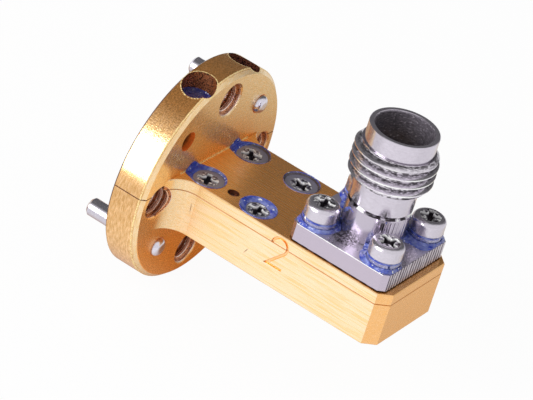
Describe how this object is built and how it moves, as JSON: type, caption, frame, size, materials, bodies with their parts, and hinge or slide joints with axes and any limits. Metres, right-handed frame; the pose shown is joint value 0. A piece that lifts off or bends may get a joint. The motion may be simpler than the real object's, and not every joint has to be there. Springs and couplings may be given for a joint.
{
  "type": "waveguide adapter",
  "caption": "Gold-plated split block with a round waveguide flange at one end and a threaded coaxial jack standing on its arm.",
  "frame": {"origin": "centre of the waveguide opening, in the plane of the flange's mating face", "axes": "+X runs along the arm away from the mating face, +Z runs along the jack's axis out of its mouth, and Y is across the arm, along the guide's broad wall"},
  "size_m": [0.027, 0.019, 0.0227],
  "materials": {
    "gold_plate": "gold plated over milled and turned brass, satin with fine lengthwise marks",
    "stainless_steel": "turned and passivated stainless steel, glossy with fine turning marks",
    "screw_steel": "stainless steel, cold headed, smooth",
    "pin_steel": "ground steel",
    "contact_gold": "gold plated, polished",
    "bead_plastic": "machined translucent plastic",
    "seal_glass": "fused glass",
    "sealing_lacquer": "translucent blue lacquer, glossy, brushed on by hand"
  },
  "bodies": {
    "root": {"lower_body": "gold_plate", "upper_cover": "gold_plate", "connector_base": "stainless_steel", "connector_shell": "stainless_steel", "connector_screws": "screw_steel", "spring_washers": "screw_steel", "flat_washers": "screw_steel", "cover_screws": "screw_steel", "clamp_screws": "screw_steel", "alignment_pins": "pin_steel", "split_dowels": "pin_steel", "outer_conductor": "contact_gold", "centre_contact": "contact_gold", "bead_ferrule": "contact_gold", "launch_probe": "contact_gold", "support_bead": "bead_plastic", "glass_bead": "seal_glass", "lacquer_connector_screws": "sealing_lacquer", "lacquer_cover_screws": "sealing_lacquer", "lacquer_clamp_screws": "sealing_lacquer"}
  },
  "joints": []
}
